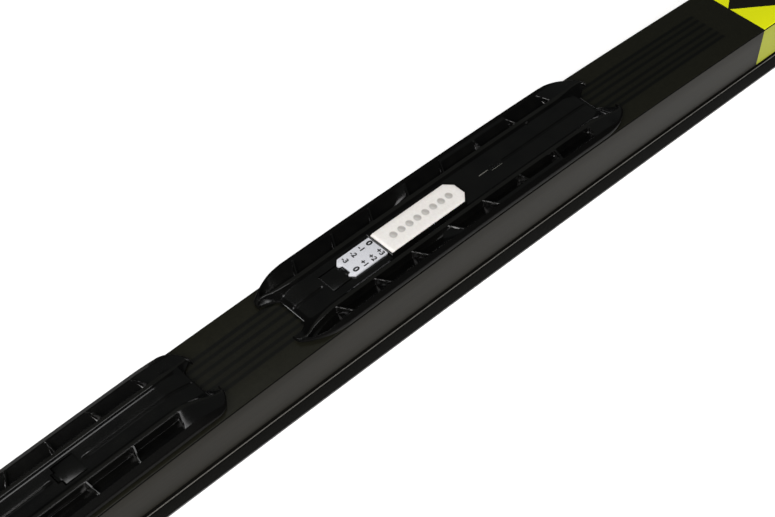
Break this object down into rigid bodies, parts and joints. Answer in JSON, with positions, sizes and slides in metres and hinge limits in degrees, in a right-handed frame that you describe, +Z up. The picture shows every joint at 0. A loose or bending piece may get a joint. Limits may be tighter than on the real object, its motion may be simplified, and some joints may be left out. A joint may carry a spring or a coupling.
{
  "type": "cross country ski",
  "caption": "Cambered cross country ski of layered cap construction, with raised tip, running groove, bonded front and rear binding plates, white lock rack, position label and latch tongues.",
  "frame": {"origin": "under the middle of the ski, on the plane that the ski stands on", "axes": "+X along the ski towards the tip, +Y to the skier's left, +Z up"},
  "size_m": [1.91, 0.044, 0.0569],
  "materials": {
    "sintered_base": "fine stone-ground",
    "abs_sidewall": "satin, fine grain",
    "fibre_laminate": "resin-bonded fibre",
    "core_wood": "planed",
    "spacer_plastic": "plain",
    "reinforcement_laminate": "resin-bonded sheet",
    "satin_topsheet": "satin lacquer",
    "protector_plastic": "fine moulded grain",
    "gloss_plate": "polished mould",
    "adhesive_tape": "foam tape",
    "white_rack": "satin moulded",
    "label_film": "fine printed grain"
  },
  "bodies": {
    "ski": {"running_base": "sintered_base", "base_edge_left": "abs_sidewall", "base_edge_right": "abs_sidewall", "lower_laminate": "fibre_laminate", "upper_laminate": "fibre_laminate", "core_stringer_left": "core_wood", "core_stringer_right": "core_wood", "core_spine": "core_wood", "tip_spacer": "spacer_plastic", "tail_spacer": "spacer_plastic", "binding_reinforcement": "reinforcement_laminate", "topsheet_cap": "satin_topsheet", "tip_protector": "protector_plastic", "tail_protector": "protector_plastic", "front_plate": "gloss_plate", "rear_plate": "gloss_plate", "front_plate_adhesive": "adhesive_tape", "rear_plate_adhesive": "adhesive_tape", "front_lock_rack": "white_rack", "position_label": "label_film"},
    "front_latch": {"front_latch_tongue": "gloss_plate"},
    "rear_latch": {"rear_latch_tongue": "gloss_plate"}
  },
  "joints": [
    {"name": "front_latch_flex", "type": "hinge", "parent": "ski", "child": "front_latch", "pos_m": [-0.15301, 0, 0.05392], "axis": [0, 1, 0], "range_deg": [0, 6], "stiffness_Nm_per_rad": 1},
    {"name": "rear_latch_flex", "type": "hinge", "parent": "ski", "child": "rear_latch", "pos_m": [-0.27651, 0, 0.05142], "axis": [0, -1, 0], "range_deg": [0, 6], "stiffness_Nm_per_rad": 1}
  ]
}
